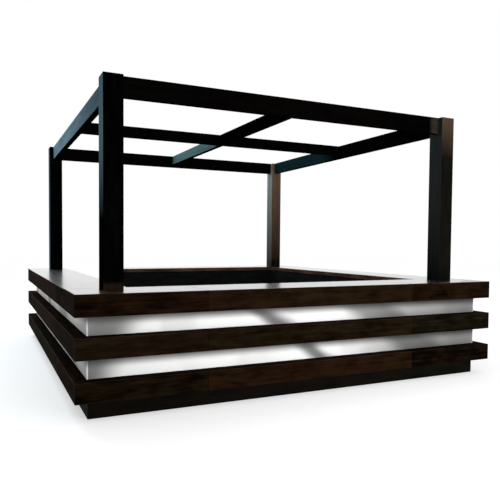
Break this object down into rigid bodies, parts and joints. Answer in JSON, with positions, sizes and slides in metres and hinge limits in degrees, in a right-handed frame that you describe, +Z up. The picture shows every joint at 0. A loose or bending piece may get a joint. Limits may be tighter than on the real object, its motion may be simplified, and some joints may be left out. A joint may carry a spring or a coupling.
{
  "type": "cabana bar",
  "caption": "Square walk-in bar: a banded counter ring with steel panels round a well, and corner posts that carry an open timber roof frame.",
  "frame": {"origin": "centre of the square footprint, at floor level", "axes": "+Z up, -Y towards the front counter, +X to the right of someone who faces the front counter"},
  "size_m": [4.88, 4.88, 3.08],
  "materials": {
    "band_timber": "satin dark lacquer",
    "counter_lacquer": "polished dark lacquer",
    "plinth_board": "satin dark lacquer",
    "well_board": "matte dark stain",
    "frame_timber": "satin dark lacquer",
    "satin_steel_panel": "satin"
  },
  "bodies": {
    "root": {"front_plinth": "plinth_board", "front_lower_band": "band_timber", "front_lower_panel": "satin_steel_panel", "front_middle_band": "band_timber", "front_upper_panel": "satin_steel_panel", "front_counter_top": "counter_lacquer", "front_inner_wall": "well_board", "right_plinth": "plinth_board", "right_lower_band": "band_timber", "right_lower_panel": "satin_steel_panel", "right_middle_band": "band_timber", "right_upper_panel": "satin_steel_panel", "right_counter_top": "counter_lacquer", "right_inner_wall": "well_board", "back_plinth": "plinth_board", "back_lower_band": "band_timber", "back_lower_panel": "satin_steel_panel", "back_middle_band": "band_timber", "back_upper_panel": "satin_steel_panel", "back_counter_top": "counter_lacquer", "back_inner_wall": "well_board", "back_end_wall": "well_board", "left_plinth": "plinth_board", "left_lower_band": "band_timber", "left_lower_panel": "satin_steel_panel", "left_middle_band": "band_timber", "left_upper_panel": "satin_steel_panel", "left_counter_top": "counter_lacquer", "left_inner_wall": "well_board", "return_plinth": "plinth_board", "return_lower_band": "band_timber", "return_lower_panel": "satin_steel_panel", "return_middle_band": "band_timber", "return_upper_panel": "satin_steel_panel", "return_counter_top": "counter_lacquer", "front_left_post": "frame_timber", "front_right_post": "frame_timber", "back_left_post": "frame_timber", "back_right_post": "frame_timber", "front_beam": "frame_timber", "back_beam": "frame_timber", "left_beam": "frame_timber", "right_beam": "frame_timber", "middle_beam": "frame_timber", "cross_beam": "frame_timber"}
  },
  "joints": []
}
